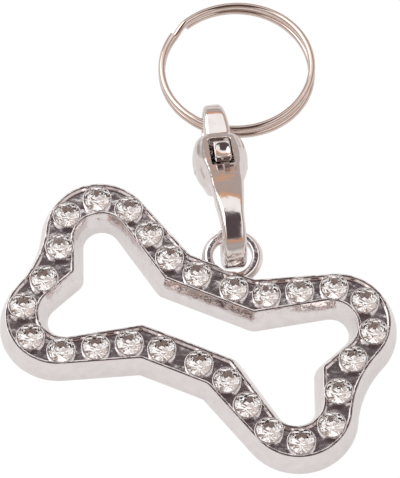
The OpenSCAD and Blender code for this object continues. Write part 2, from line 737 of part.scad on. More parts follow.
// The ring hangs from the eye's centre
eye_side_z = bow_z + (eye_c[1]) * cos(clasp_lean);
eye_place = [bow_place[0] + eye_u * clasp_dir[0] - eye_drop * sin(clasp_lean) * clasp_dir[1],
             bow_place[1] + eye_u * clasp_dir[1] + eye_drop * sin(clasp_lean) * clasp_dir[0], eye_side_z];
function turned(p, a) = [p[0] * cos(a) - p[1] * sin(a), p[0] * sin(a) + p[1] * cos(a)];
function ring_place(p) =
    let (q = [p[0], p[1] * cos(ring_drop) + p[2] * sin(ring_drop), p[2] * cos(ring_drop) - p[1] * sin(ring_drop)])
    let (r = [q[0] * cos(ring_lean) - q[2] * sin(ring_lean), q[1], q[2] * cos(ring_lean) + q[0] * sin(ring_lean)])
    let (t = turned([r[0], r[1]], ring_turn))
    [eye_place[0] + t[0], eye_place[1] + t[1] + wire_d / 2, eye_place[2] + r[2]];

// Where the bone's middle lies, so that the whole part is centred on the origin
bone_near = knuckle_y + knuckle_r + outer_flare;
ring_far = max([for (p = ring_points) ring_place(p)[1]]);
bone_y = (bone_near - ring_far) / 2;

module split_ring() {
    color(wire_colour)
        on_bone()
            translate(eye_place)
                rotate([0, 0, ring_turn])
                    rotate([0, -ring_lean, 0])
                        rotate([-ring_drop, 0, 0])
                            polyhedron(points = tube_points(ring_points, wire_d / 2, ring_sides),
                                       faces = tube_faces(len(ring_points), ring_sides), convexity = 8);
}

bone_frame();
for (i = [0 : stone_count() - 1])
    stone(i);
clasp_body();
trigger_lever();
lever_rivet();
trigger_spring();
split_ring();
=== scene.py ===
import json
import math

import bpy
import numpy as np
from mathutils import Matrix, Vector


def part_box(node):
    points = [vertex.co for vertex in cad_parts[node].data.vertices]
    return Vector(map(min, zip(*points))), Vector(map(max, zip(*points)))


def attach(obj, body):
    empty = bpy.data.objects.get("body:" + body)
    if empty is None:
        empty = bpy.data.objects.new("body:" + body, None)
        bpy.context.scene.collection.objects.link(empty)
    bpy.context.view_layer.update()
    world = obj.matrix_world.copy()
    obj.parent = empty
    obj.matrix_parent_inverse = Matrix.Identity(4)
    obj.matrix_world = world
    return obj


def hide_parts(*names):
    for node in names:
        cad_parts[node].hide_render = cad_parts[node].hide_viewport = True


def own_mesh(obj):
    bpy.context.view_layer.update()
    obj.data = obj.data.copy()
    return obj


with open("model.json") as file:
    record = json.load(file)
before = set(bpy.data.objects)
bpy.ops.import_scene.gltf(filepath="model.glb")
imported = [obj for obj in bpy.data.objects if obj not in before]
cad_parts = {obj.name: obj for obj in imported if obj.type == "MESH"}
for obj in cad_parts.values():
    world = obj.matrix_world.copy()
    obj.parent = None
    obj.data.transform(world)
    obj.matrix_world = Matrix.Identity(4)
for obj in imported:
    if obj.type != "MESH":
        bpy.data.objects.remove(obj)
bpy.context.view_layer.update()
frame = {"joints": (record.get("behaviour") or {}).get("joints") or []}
mm = 0.001
white = (1, 1, 1, 1)

# The joints give the places that the moving pieces are drawn round
jointPlace = {j["name"]: np.array(j["pos_m"]) / mm for j in frame["joints"]}
jointAxis = {j["name"]: np.array(j["axis"]) for j in frame["joints"]}
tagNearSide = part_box("bone_frame")[0].y / mm


def linearColour(hexText):
    parts = [int(hexText[i:i + 2], 16) / 255 for i in (1, 3, 5)]
    return [c / 12.92 if c <= 0.04045 else ((c + 0.055) / 1.055) ** 2.4 for c in parts] + [1.0]


# Adds one node with its settings, and fills its sockets with values or links. A node that is given
# as a value stands for its first output.
def addNode(tree, kind, settings=None, inputs=None):
    node = tree.nodes.new(kind)
    for name, value in (settings or {}).items():
        setattr(node, name, value)
    for key, value in (inputs or {}).items():
        if isinstance(value, bpy.types.Node):
            value = value.outputs[0]
        if isinstance(value, bpy.types.NodeSocket):
            tree.links.new(value, node.inputs[key])
        else:
            node.inputs[key].default_value = value
    return node


def newMaterial(name):
    material = bpy.data.materials.new(name)
    material.use_nodes = True
    material.node_tree.nodes.clear()
    return material, material.node_tree


# Ends a material at the node that makes its surface
def withSurface(material, node):
    addNode(material.node_tree, "ShaderNodeOutputMaterial", None, {"Surface": node})
    return material


def newObject(name, data):
    made = bpy.data.objects.new(name, data)
    bpy.context.scene.collection.objects.link(made)
    return made


def newMesh(name, points, faces):
    mesh = bpy.data.meshes.new(name)
    rows = [tuple(p) for p in np.asarray(points, float) * mm]
    mesh.from_pydata(rows, [], [list(map(int, f)) for f in faces])
    mesh.update()
    return newObject(name, mesh)


# Bakes what the modifiers make into a plain mesh
def settle(piece):
    evaluated = piece.evaluated_get(bpy.context.evaluated_depsgraph_get())
    mesh = bpy.data.meshes.new_from_object(evaluated)
    name, materials = piece.name, [s.material for s in piece.material_slots]
    bpy.data.objects.remove(piece)
    made = newObject(name, mesh)
    if not mesh.materials:
        for material in materials:
            mesh.materials.append(material)
    return made


def smoothFaces(piece, sharpAngle):
    piece.data.polygons.foreach_set("use_smooth", [True] * len(piece.data.polygons))
    piece.data.set_sharp_from_angle(angle=math.radians(sharpAngle))


def paint(piece, material):
    piece.data.materials.clear()
    piece.data.materials.append(material)


def moved(piece, place):
    piece.data.transform(Matrix.Translation(Vector(place) * mm))
    return piece


def finishPiece(piece, body, stoodFor=()):
    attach(piece, body)
    if stoodFor:
        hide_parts(*stoodFor)


# The camera that was fitted to the stones' places in the photograph, in mm from the tag's near side
view = {
    "right": (0.921, 0.3896, -0.0023), "down": (0.3492, -0.8283, -0.4382),
    "forward": (-0.1726, 0.4028, -0.8989), "place": (81.86, -179.05, 446.6),
    "focalPixels": 4777, "longSide": 478, "sensor": 36, "clip": (0.01, 20),
}


def addCamera():
    right, down, forward = (Vector(view[name]).normalized() for name in ("right", "down", "forward"))
    data = bpy.data.cameras.new("photoCamera")
    data.sensor_width = view["sensor"]
    data.lens = view["focalPixels"] * view["sensor"] / view["longSide"]
    data.clip_start, data.clip_end = view["clip"]
    camera = newObject("photoCamera", data)
    turn = Matrix((right, -down, -forward)).transposed()
    place = (Vector(view["place"]) + Vector((0, tagNearSide, 0))) * mm
    camera.matrix_world = Matrix.Translation(place) @ turn.to_4x4()
    bpy.context.scene.camera = camera


# A light tent: white all round, a brown room line above the table, and a dark card overhead that
# runs across above the camera. Heights go from level (0) to straight up (1), the card's start and
# end are shares of a half turn over the object, and the other edges are parts of a direction.
studio = {
    "facing": (-0.394, 0.919, 0), "across": (0.919, 0.394, 0),
    "heights": [(0.0, "#d8d4d3"), (0.15, "#a8a09e"), (0.30, "#b8b2b0"), (0.46, "#b0a49e"), (0.505, "#b9a59a"),
                (0.54, "#d2a68b"), (0.63, "#dba47e"), (0.67, "#ffffff"), (1.0, "#ffffff")],
    "card": "#564b4e", "cardStart": (0.334, 0.350), "cardEnd": (0.74, 0.80), "cardSide": (0.30, 0.42),
    # What the cut stones show of the room: a greyer left side, patches, and the dark near side
    "leftShade": "#c8bdb8", "leftEdge": (-0.40, -0.02), "nearShade": "#6c5a52", "nearEdge": (-0.70, -0.40),
    "patchShade": "#8d7a70", "patchSize": 0.7, "patchEdge": (0.50, 0.58),
    "skyLevel": 1.15, "lampLevel": 0.35, "lampSize": 1.0, "lampPlace": (-0.75, 0.1, 0.65),
    "floorColour": "#f6f4f3", "floorGlow": 0.96, "floorLevel": 1.03, "floorGloss": 0.7, "floorDim": 0.03,
    "floorSize": 6.0, "floorSunk": 0.01,
}


def addWorld():
    world = bpy.data.worlds.new("lightTent")
    bpy.context.scene.world = world
    world.use_nodes = True
    tree = world.node_tree
    tree.nodes.clear()
    way = addNode(tree, "ShaderNodeTexCoord").outputs["Generated"]
    high = addNode(tree, "ShaderNodeSeparateXYZ", None, {"Vector": way}).outputs["Z"]
    ahead, side = (addNode(tree, "ShaderNodeVectorMath", {"operation": "DOT_PRODUCT"}, {
        0: way, 1: studio[name]}).outputs["Value"] for name in ("facing", "across"))
    ramp = addNode(tree, "ShaderNodeValToRGB", None, {"Fac": high})
    stops = ramp.color_ramp.elements
    while len(stops) < len(studio["heights"]):
        stops.new(0.5)
    for stop, (place, colour) in zip(stops, studio["heights"]):
        stop.position, stop.color = place, linearColour(colour)
    over = addNode(tree, "ShaderNodeMath", {"operation": "ARCTAN2"}, {0: high, 1: ahead})
    over = addNode(tree, "ShaderNodeMath", {"operation": "DIVIDE"}, {0: over, 1: math.pi})
    wide = addNode(tree, "ShaderNodeMath", {"operation": "ABSOLUTE"}, {0: side})
    patch = addNode(tree, "ShaderNodeTexNoise", None, {
        "Vector": way, "Scale": 1 / studio["patchSize"], "Detail": 0.0})
    # Each soft edge runs from the share that is named here to the opposite one
    edges = {}
    for name, value, first in (("cardStart", over, 0.0), ("cardEnd", over, 1.0), ("cardSide", wide, 1.0),
                               ("leftEdge", side, 1.0), ("patchEdge", patch, 0.0), ("nearEdge", ahead, 1.0)):
        edges[name] = addNode(tree, "ShaderNodeMapRange", {"interpolation_type": "SMOOTHSTEP"}, {
            "Value": value, "From Min": studio[name][0], "From Max": studio[name][1],
            "To Min": first, "To Max": 1.0 - first})
    card = edges["cardStart"]
    for name in ("cardEnd", "cardSide"):
        card = addNode(tree, "ShaderNodeMath", {"operation": "MULTIPLY"}, {0: card, 1: edges[name]})
    sky = addNode(tree, "ShaderNodeMix", {"data_type": "RGBA"}, {
        "Factor": card, 6: ramp, 7: linearColour(studio["card"])}).outputs[2]
    # Every facet of a stone shows one small part of the room, so the stones see one with patches
    stoneSky = white
    for name in ("left", "patch", "near"):
        stoneSky = addNode(tree, "ShaderNodeMix", {"data_type": "RGBA"}, {
            "Factor": edges[name + "Edge"], 6: stoneSky, 7: linearColour(studio[name + "Shade"])}).outputs[2]
    seen = addNode(tree, "ShaderNodeLightPath").outputs
    sky = addNode(tree, "ShaderNodeMix", {"data_type": "RGBA"}, {
        "Factor": seen["Is Transmission Ray"], 6: sky, 7: stoneSky}).outputs[2]
    lit = addNode(tree, "ShaderNodeBackground", None, {"Color": sky, "Strength": studio["skyLevel"]})
    plain = addNode(tree, "ShaderNodeBackground", None, {"Color": white, "Strength": 1.0})
    both = addNode(tree, "ShaderNodeMixShader", None, {0: seen["Is Camera Ray"], 1: lit, 2: plain})
    addNode(tree, "ShaderNodeOutputWorld", None, {"Surface": both})


def addFloor():
    half, low = studio["floorSize"] / 2 / mm, -studio["floorSunk"]
    corners = [(-half, -half, low), (half, -half, low), (half, half, low), (-half, half, low)]
    floor = newMesh("paleFloor", corners, [(0, 1, 2, 3)])
    material, tree = newMaterial("whitePaper")
    matt = addNode(tree, "ShaderNodeBsdfDiffuse", None, {"Color": linearColour(studio["floorColour"])})
    seen = addNode(tree, "ShaderNodeLightPath").outputs
    # Metal mirrors the paper a little greyer than the eye sees it
    level = addNode(tree, "ShaderNodeMapRange", None, {
        "Value": seen["Is Glossy Ray"], "To Min": studio["floorLevel"], "To Max": 1 - studio["floorDim"]})
    glow = addNode(tree, "ShaderNodeEmission", None, {"Color": white, "Strength": level})
    clear = addNode(tree, "ShaderNodeMath", {"operation": "MAXIMUM"}, {
        0: seen["Is Camera Ray"], 1: seen["Is Transmission Ray"]})
    clear = addNode(tree, "ShaderNodeMath", {"operation": "MULTIPLY"}, {0: clear, 1: studio["floorGlow"]})
    gloss = addNode(tree, "ShaderNodeMath", {"operation": "MULTIPLY"}, {
        0: seen["Is Glossy Ray"], 1: studio["floorGloss"]})
    share = addNode(tree, "ShaderNodeMath", {"operation": "MAXIMUM"}, {0: clear, 1: gloss})
    both = addNode(tree, "ShaderNodeMixShader", None, {0: share, 1: matt, 2: glow})
    paint(floor, withSurface(material, both))


def addLamp():
    data = bpy.data.lights.new("softBox", "AREA")
    data.shape, data.size = "DISK", studio["lampSize"]
    place = Vector(studio["lampPlace"])
    data.energy = studio["lampLevel"] * math.pi * place.length_squared * math.pi
    lamp = newObject("softBox", data)
    lamp.matrix_world = Matrix.Translation(place) @ place.to_track_quat("Z", "Y").to_matrix().to_4x4()


addCamera()
addWorld()
addFloor()
addLamp()
bpy.context.scene.view_settings.view_transform = "Standard"
print("stage, lamp and camera are in place")

# Bright plating over a cast zinc alloy: mirror bright, wavy as cast, with fine pits on the walls.
# Sizes are in mm. The shares say how level a face is where the pits end and the duller part starts.
plateFinish = {"light": "#ebe8e8", "warm": "#e0d8d6", "rough": 0.04, "roughSpread": 0.08,
               "waveSize": 0.9, "waveHeight": 0.038, "pitSize": 0.22, "pitHeight": 0.008,
               "wallShare": (0.5, 0.9), "levelShare": (0.93, 1.0), "levelRough": 0.05}
# The same plating on a smaller casting that was tumbled smooth first. No face reaches its shares.
claspFinish = {"light": "#e9e4e3", "warm": "#dbd1cd", "rough": 0.07, "roughSpread": 0.08,
               "waveSize": 1.4, "waveHeight": 0.06, "pitSize": 0.3, "pitHeight": 0.002,
               "wallShare": (1.5, 2.0), "levelShare": (1.5, 2.0), "levelRough": 0.0}
# Nickel plated spring steel wire: bright and faintly uneven from drawing. Its warm tint is partly the
# nickel's own and partly a painted reflection of a brown room
wireFinish = {"light": "#ded4cf", "warm": "#ccb8ae", "rough": 0.1, "roughSpread": 0.06,
              "waveSize": 0.9, "waveHeight": 0.002, "pitSize": 0.15, "pitHeight": 0.001,
              "wallShare": (1.5, 2.0), "levelShare": (1.5, 2.0), "levelRough": 0.0}
# What all the plated finishes share: how broken the waves and the pits are
platePattern = {"waveDetail": 2.0, "waveBreak": 0.4, "waveSpan": (0.3, 0.7),
                "pitDetail": 3.0, "pitBreak": 0.6, "pitSpan": (0.25, 0.42)}


def plateMaterial(name, finish):
    material, tree = newMaterial(name)
    pattern = platePattern
    place = addNode(tree, "ShaderNodeTexCoord").outputs["Object"]
    wave = addNode(tree, "ShaderNodeTexNoise", None, {
        "Vector": place, "Scale": 1 / (finish["waveSize"] * mm),
        "Detail": pattern["waveDetail"], "Roughness": pattern["waveBreak"]})
    grain = addNode(tree, "ShaderNodeTexNoise", None, {
        "Vector": place, "Scale": 1 / (finish["pitSize"] * mm),
        "Detail": pattern["pitDetail"], "Roughness": pattern["pitBreak"]})
    pits = addNode(tree, "ShaderNodeMapRange", {"interpolation_type": "SMOOTHSTEP"}, {
        "Value": grain, "From Min": pattern["pitSpan"][0], "From Max": pattern["pitSpan"][1]})
    # The pits are kept off the level faces, which were polished
    facing = addNode(tree, "ShaderNodeNewGeometry").outputs["Normal"]
    facing = addNode(tree, "ShaderNodeSeparateXYZ", None, {"Vector": facing})
    level = addNode(tree, "ShaderNodeMath", {"operation": "ABSOLUTE"}, {0: facing.outputs["Z"]})
    wall = addNode(tree, "ShaderNodeMapRange", None, {
        "Value": level, "From Min": finish["wallShare"][0], "From Max": finish["wallShare"][1],
        "To Min": 1.0, "To Max": 0.0})
    rough = addNode(tree, "ShaderNodeMapRange", None, {
        "Value": wave, "From Min": pattern["waveSpan"][0], "From Max": pattern["waveSpan"][1],
        "To Min": finish["rough"], "To Max": finish["rough"] + finish["roughSpread"]})
    # The sunk face was left as cast, a little duller than the rest
    dull = addNode(tree, "ShaderNodeMapRange", None, {
        "Value": level, "From Min": finish["levelShare"][0], "From Max": finish["levelShare"][1],
        "To Max": finish["levelRough"]})
    rough = addNode(tree, "ShaderNodeMath", {"operation": "ADD"}, {0: rough, 1: dull})
    tint = addNode(tree, "ShaderNodeMix", {"data_type": "RGBA"}, {
        "Factor": wave, 6: linearColour(finish["light"]), 7: linearColour(finish["warm"])})
    swell = addNode(tree, "ShaderNodeBump", None, {
        "Height": wave, "Distance": finish["waveHeight"] * mm, "Strength": 1.0})
    fine = addNode(tree, "ShaderNodeBump", None, {
        "Height": pits, "Distance": finish["pitHeight"] * mm, "Strength": wall, "Normal": swell})
    metal = addNode(tree, "ShaderNodeBsdfPrincipled", None, {
        "Base Color": tint.outputs[2], "Metallic": 1.0, "Roughness": rough, "Normal": fine})
    return withSurface(material, metal)


# Cut lead glass: clear, sharp edged, with a faint cool cast
glassFinish = {"colour": "#fdfcff", "rough": 0.01, "ior": 1.56}


def glassMaterial():
    material, tree = newMaterial("cutCrystalGlass")
    glass = addNode(tree, "ShaderNodeBsdfPrincipled", None, {
        "Base Color": linearColour(glassFinish["colour"]), "Roughness": glassFinish["rough"],
        "IOR": glassFinish["ior"], "Transmission Weight": 1.0})
    return withSurface(material, glass)


# Silver foil on a stone's back: a mirror, a touch uneven
foilFinish = {"colour": "#fbfaf8", "cloudSize": 0.6, "cloudDetail": 2.0, "rough": (0.01, 0.05)}


def foilMaterial():
    material, tree = newMaterial("silverFoil")
    place = addNode(tree, "ShaderNodeTexCoord").outputs["Object"]
    cloud = addNode(tree, "ShaderNodeTexNoise", None, {
        "Vector": place, "Scale": 1 / (foilFinish["cloudSize"] * mm), "Detail": foilFinish["cloudDetail"]})
    rough = addNode(tree, "ShaderNodeMapRange", None, {
        "Value": cloud, "To Min": foilFinish["rough"][0], "To Max": foilFinish["rough"][1]})
    metal = addNode(tree, "ShaderNodeBsdfPrincipled", None, {
        "Base Color": linearColour(foilFinish["colour"]), "Metallic": 1.0, "Roughness": rough})
    return withSurface(material, metal)


castPlate = plateMaterial("brightCastPlate", plateFinish)
claspPlate = plateMaterial("tumbledCastPlate", claspFinish)
nickelWire = plateMaterial("nickelPlatedWire", wireFinish)
crystalGlass = glassMaterial()
silverFoil = foilMaterial()
print("finishes are made")

# Half sizes of the bone's two outlines, each a shaft, a blend, a slope, a knuckle and an end. The
# outer knuckle meets its end arc by itself, the inner one leaves at an angle for a straight line.
boneOutline = {
    "outer": {"half": 6.38, "blend": 1.2, "slope": 27.5, "centre": (13.32, 5.21), "radius": 5.49,
              "endRadius": 11.2},
    "inner": {"half": 2.85, "blend": 0.6, "slope": 33, "centre": (12.81, 4.59), "radius": 2.81,
              "endRadius": 0.5, "endAngle": -23.9},
    # Steps along the shaft, blend, slope, knuckle and end, and how many of the end's are its line's
    "fineSteps": (4, 10, 10, 60, 20, 8), "coarseSteps": (2, 4, 3, 14, 6, 3),
}
boneSection = {"height": 2.85, "outerFlare": 0.67, "innerFlare": 0.9, "wallSteps": 12, "backRun": 0.6,
               "flat": 0.02, "baseRound": 0.08, "rimWidth": 0.3, "rimRound": 0.06, "rimInset": 0.01,
               "rimSlant": 0.03, "faceDepth": 0.5, "faceRun": 0.2, "footRound": 0.05, "sharp": 30}
# The outer outline's reach from the tag's near side is where the bone's middle line lies
boneReach = boneOutline["outer"]["centre"][1] + boneOutline["outer"]["radius"] + boneSection["outerFlare"]
boneMiddle = np.array([0, tagNearSide + boneReach, 0])


def heading(angle):
    return np.array([math.cos(math.radians(angle)), math.sin(math.radians(angle))])


# A quarter outline from the shaft's middle round to the end's middle: place and normal
def quarterOutline(shape, steps):
    half, blend, radius, endRadius = (shape[name] for name in ("half", "blend", "radius", "endRadius"))
    nShaft, nBlend, nSlope, nKnuckle, nEnd, nLine = steps
    centre = np.array(shape["centre"])
    if "endAngle" in shape:
        endAngle = shape["endAngle"]
    else:
        endAngle, nLine = -math.degrees(math.asin(centre[1] / (radius + endRadius))), 0
    nEnd -= nLine
    rise = 90 + shape["slope"]
    blendX = (heading(rise) @ centre + radius + blend - heading(rise)[1] * (half + blend)) / heading(rise)[0]
    blendCentre = np.array([blendX, half + blend])
    endCentre = np.array([(heading(endAngle) @ centre + radius + endRadius) / heading(endAngle)[0], 0])
    slopeStart, slopeEnd = blendCentre - blend * heading(rise), centre + radius * heading(rise)
    lineStart, lineEnd = centre + radius * heading(endAngle), endCentre - endRadius * heading(endAngle)
    rows = [(np.array([blendX * i / nShaft, half]), 90) for i in range(nShaft)]
    for i in range(nBlend + 1):
        angle = 90 + (rise - 90) * i / nBlend
        rows.append((blendCentre - blend * heading(angle), angle))
    rows += [(slopeStart + (slopeEnd - slopeStart) * i / nSlope, rise) for i in range(1, nSlope)]
    for i in range(nKnuckle + 1):
        angle = rise + (endAngle - rise) * i / nKnuckle
        rows.append((centre + radius * heading(angle), angle))
    rows += [(lineStart + (lineEnd - lineStart) * i / nLine, endAngle) for i in range(1, nLine)]
    for i in range(0 if nLine else 1, nEnd + 1):
        angle = endAngle * (1 - i / nEnd)
        rows.append((endCentre - endRadius * heading(angle), angle))
    return np.array([[p[0], p[1], *heading(a)] for p, a in rows])


def wholeOutline(quarter):
    back = quarter[::-1]
    return np.vstack([quarter, back[1:] * (1, -1, 1, -1), quarter[1:] * (-1, -1, -1, -1),
                      back[1:-1] * (-1, 1, -1, 1)])


# Rounds the corners of a flat path: each point is (x, z, radius)
def roundedPath(points, steps=5):
    made = []
    for i, (x, z, radius) in enumerate(points):
        here = np.array([x, z])
        if radius == 0 or i in (0, len(points) - 1):
            made.append(here)
            continue
        before, after = np.array(points[i - 1][:2]) - here, np.array(points[i + 1][:2]) - here
        before, after = before / np.linalg.norm(before), after / np.linalg.norm(after)
        halfAngle = math.acos(np.clip(before @ after, -1, 1)) / 2
        reach = radius / math.tan(halfAngle)
        middle = here + (before + after) / np.linalg.norm(before + after) * radius / math.sin(halfAngle)
        first, last = here + before * reach - middle, here + after * reach - middle
        turn = math.atan2(first[0] * last[1] - first[1] * last[0], first @ last)
        for k in range(steps + 1):
            a = turn * k / steps
            made.append(middle + [first[0] * math.cos(a) - first[1] * math.sin(a),
                                  first[0] * math.sin(a) + first[1] * math.cos(a)])
    return made


# Half of the bone's section, from the middle of its back round the wall to the sunk face
def halfSection(flare):
    size = boneSection
    top, face, rim = size["height"], size["height"] - size["faceDepth"], -size["rimWidth"]
    foot = [(-size["backRun"], 0, 0), (flare - size["baseRound"] - size["flat"], 0, 0),
            (flare, 0, size["baseRound"])]
    wall = []
    for i in range(1, size["wallSteps"]):
        share = i / size["wallSteps"]
        wall.append((flare * math.cos(math.pi / 2 * share), (top - size["rimRound"]) * share, 0))
    edge = [(-size["rimInset"], top, size["rimRound"]), (rim, top, size["rimRound"]),
            (rim - size["rimSlant"], face, size["footRound"]), (rim - size["faceRun"], face, 0)]
    return roundedPath(foot + wall + edge)


def addBoneFrame():
    outer, inner = (wholeOutline(quarterOutline(boneOutline[name], boneOutline["fineSteps"]))
                    for name in ("outer", "inner"))
    rows = [(outer, x, z) for x, z in halfSection(boneSection["outerFlare"])]
    rows += [(inner, -x, z) for x, z in reversed(halfSection(boneSection["innerFlare"]))]
    n = len(outer)
    loops = [np.column_stack([loop[:, :2] + loop[:, 2:] * grow, np.full(n, z)]) for loop, grow, z in rows]
    faces = []
    for k in range(len(rows)):
        after = (k + 1) % len(rows)
        for i in range(n):
            j = (i + 1) % n
            faces.append((k * n + i, after * n + i, after * n + j, k * n + j))
    return newMesh("castFrame", np.vstack(loops) + boneMiddle, faces)


# A shape turned round the z axis from a list of (radius, height)
def turnedShape(name, profile, sides, closed=False):
    rings, points, faces = [], [], []
    for radius, height in profile:
        if radius == 0:
            rings.append([len(points)])
            points.append((0, 0, height))
        else:
            rings.append(list(range(len(points), len(points) + sides)))
            points += [(*(radius * heading(360 * i / sides)), height) for i in range(sides)]
    pairs = list(zip(rings, rings[1:] + rings[:1]))
    for a, b in pairs if closed else pairs[:-1]:
        for i in range(sides):
            j = (i + 1) % sides
            face = [a[i % len(a)], a[j % len(a)], b[j % len(b)], b[i % len(b)]]
            face = [v for k, v in enumerate(face) if v != face[k - 1]]
            if len(face) > 2:
                faces.append(face)
    return newMesh(name, points, faces)


# The eyelet is a ring round its hole. The block cuts it off inside the frame's wall.
eyeletSize = {"hole": 2.03, "bar": 0.8, "spread": 0.35, "low": 1.75, "top": 2.7, "belly": 0.3, "sides": 96,
              "middle": (0.4, boneOutline["outer"]["half"] + 1.77, 0), "boreLow": -1, "boreTop": 4,
              "rounds": (0.12, 0.15, 0.2, 0.15, 0.42, 0.28), "roundSteps": 8,
              "blockHalf": 6, "blockLow": -0.5, "blockTop": 2.84, "blockTo": 6.06}
eyeletMiddle = boneMiddle + eyeletSize["middle"]


def addEyelet():
    size = eyeletSize
    hole, low, top, spread = size["hole"], size["low"], size["top"], size["spread"]
    outer, belly, waist = hole + size["bar"], low + (top - low) * size["belly"], (low + top) / 2
    corners = [(hole, low), (outer + spread / 2, low), (outer + spread, belly),
               (outer + spread / 2, belly + spread), (outer, top), (hole, top)]
    rounded = [(x, z, radius) for (x, z), radius in zip(corners, size["rounds"])]
    profile = roundedPath([(hole, waist, 0)] + rounded + [(hole, waist, 0)], size["roundSteps"])[:-1]
    return moved(turnedShape("eyeletRing", profile, size["sides"], True), eyeletMiddle)


def addWallBlock():
    half, far = eyeletSize["blockHalf"], eyeletSize["blockTo"]
    corners = [(x, y, z) for z in (eyeletSize["blockLow"], eyeletSize["blockTop"])
               for x, y in ((-half, 0), (half, 0), (half, far), (-half, far))]
    faces = [(3, 2, 1, 0), (4, 5, 6, 7), (0, 1, 5, 4), (1, 2, 6, 5), (2, 3, 7, 6), (3, 0, 4, 7)]
    return newMesh("wallBlock", corners + boneMiddle, faces)


def addEyeletBore():
    hole, low, top = (eyeletSize[name] for name in ("hole", "boreLow", "boreTop"))
    bore = turnedShape("eyeletBore", [(0, low), (hole, low), (hole, top), (0, top)], eyeletSize["sides"])
    return moved(bore, eyeletMiddle)


def cut(piece, tool, operation="DIFFERENCE"):
    change = piece.modifiers.new("cut", "BOOLEAN")
    change.operation, change.solver, change.object = operation, "EXACT", tool
    done = settle(piece)
    bpy.data.objects.remove(tool)
    return done


# Starts a tree whose inputs are its geometry and the named ones, each with its kind
def newTree(name, inputs):
    tree = bpy.data.node_groups.new(name, "GeometryNodeTree")
    for label, kind in {"Geometry": "Geometry", **inputs}.items():
        tree.interface.new_socket(label, in_out="INPUT", socket_type="NodeSocket" + kind)
    tree.interface.new_socket("Geometry", in_out="OUTPUT", socket_type="NodeSocketGeometry")
    return tree, addNode(tree, "NodeGroupInput").outputs


# A tree that sets one shape on every point, turned by a seeded random angle
def repeatTree():
    tree, start = newTree("setOnPoints", {"Shape": "Object", "Turn": "Float", "Tilt": "Float", "Seed": "Int",
                                          "Finish": "Material", "Back finish": "Material"})
    shape = addNode(tree, "GeometryNodeObjectInfo", None, {"Object": start["Shape"], "As Instance": True})
    most = addNode(tree, "ShaderNodeCombineXYZ", None, {
        "X": start["Tilt"], "Y": start["Tilt"], "Z": start["Turn"]})
    least = addNode(tree, "ShaderNodeVectorMath", {"operation": "SCALE"}, {0: most, "Scale": -1.0})
    spin = addNode(tree, "FunctionNodeRandomValue", {"data_type": "FLOAT_VECTOR"}, {
        0: least, 1: most, "Seed": start["Seed"]})
    points = addNode(tree, "GeometryNodeMeshToPoints", None, {"Mesh": start["Geometry"]})
    placed = addNode(tree, "GeometryNodeInstanceOnPoints", None, {
        "Points": points, "Instance": shape.outputs["Geometry"], "Rotation": spin})
    whole = addNode(tree, "GeometryNodeRealizeInstances", None, {"Geometry": placed})
    painted = addNode(tree, "GeometryNodeSetMaterial", None, {"Geometry": whole, "Material": start["Finish"]})
    backs = addNode(tree, "GeometryNodeInputNamedAttribute", {"data_type": "BOOLEAN"}, {"Name": "isBack"})
    painted = addNode(tree, "GeometryNodeSetMaterial", None, {
        "Geometry": painted, "Selection": backs, "Material": start["Back finish"]})
    addNode(tree, "NodeGroupOutput", None, {0: painted})
    return tree


# Puts a tree on a piece and fills its named inputs by their identifiers
def runTree(piece, tree, values):
    modifier = piece.modifiers.new("shape", "NODES")
    modifier.node_group = tree
    for item in tree.interface.items_tree:
        if item.in_out == "INPUT" and item.name in values:
            modifier[item.identifier] = values[item.name]
    return settle(piece)


setOnPoints = repeatTree()


# Sets a shape on every place. The shape itself is then no longer needed.
def setOnPlaces(name, places, shape, values):
    made = runTree(newMesh(name, places, []), setOnPoints, {"Shape": shape, **values})
    bpy.data.objects.remove(shape)
    return made


stoneCut = {"diameter": 2.72, "crown": 0.5, "edge": 0.08, "back": 1.17, "table": 0.56, "star": 0.8,
            "lower": 0.75, "sides": 8, "turn": math.pi, "tilt": 0.03, "seed": 7,
            "places": (0.08, 0.216, 0.35, 0.488, 0.628, 0.773, 0.921),  # shares of a quarter's run
            "rise": 0.06, "gap": 0.03, "seatTop": 0.5, "seatSides": 48}
edgeHeight = boneSection["height"] + stoneCut["rise"] - stoneCut["edge"]


# The stones stand on the middle line between the two outlines. It is run over the outline's
# coarse points, as the solid part does.
def stonePlaces():
    middle = sum(quarterOutline(boneOutline[name], boneOutline["coarseSteps"])[:, :2]
                 for name in ("outer", "inner")) / 2
    runs = np.concatenate([[0], np.cumsum(np.linalg.norm(np.diff(middle, axis=0), axis=1))])
    found = []
    for signX, signY in ((1, 1), (1, -1), (-1, -1), (-1, 1)):
        for share in stoneCut["places"]:
            x, y = (np.interp(share * runs[-1], runs, middle[:, k]) for k in (0, 1))
            found.append((signX * x, signY * y, 0))
    return np.array(found) + boneMiddle


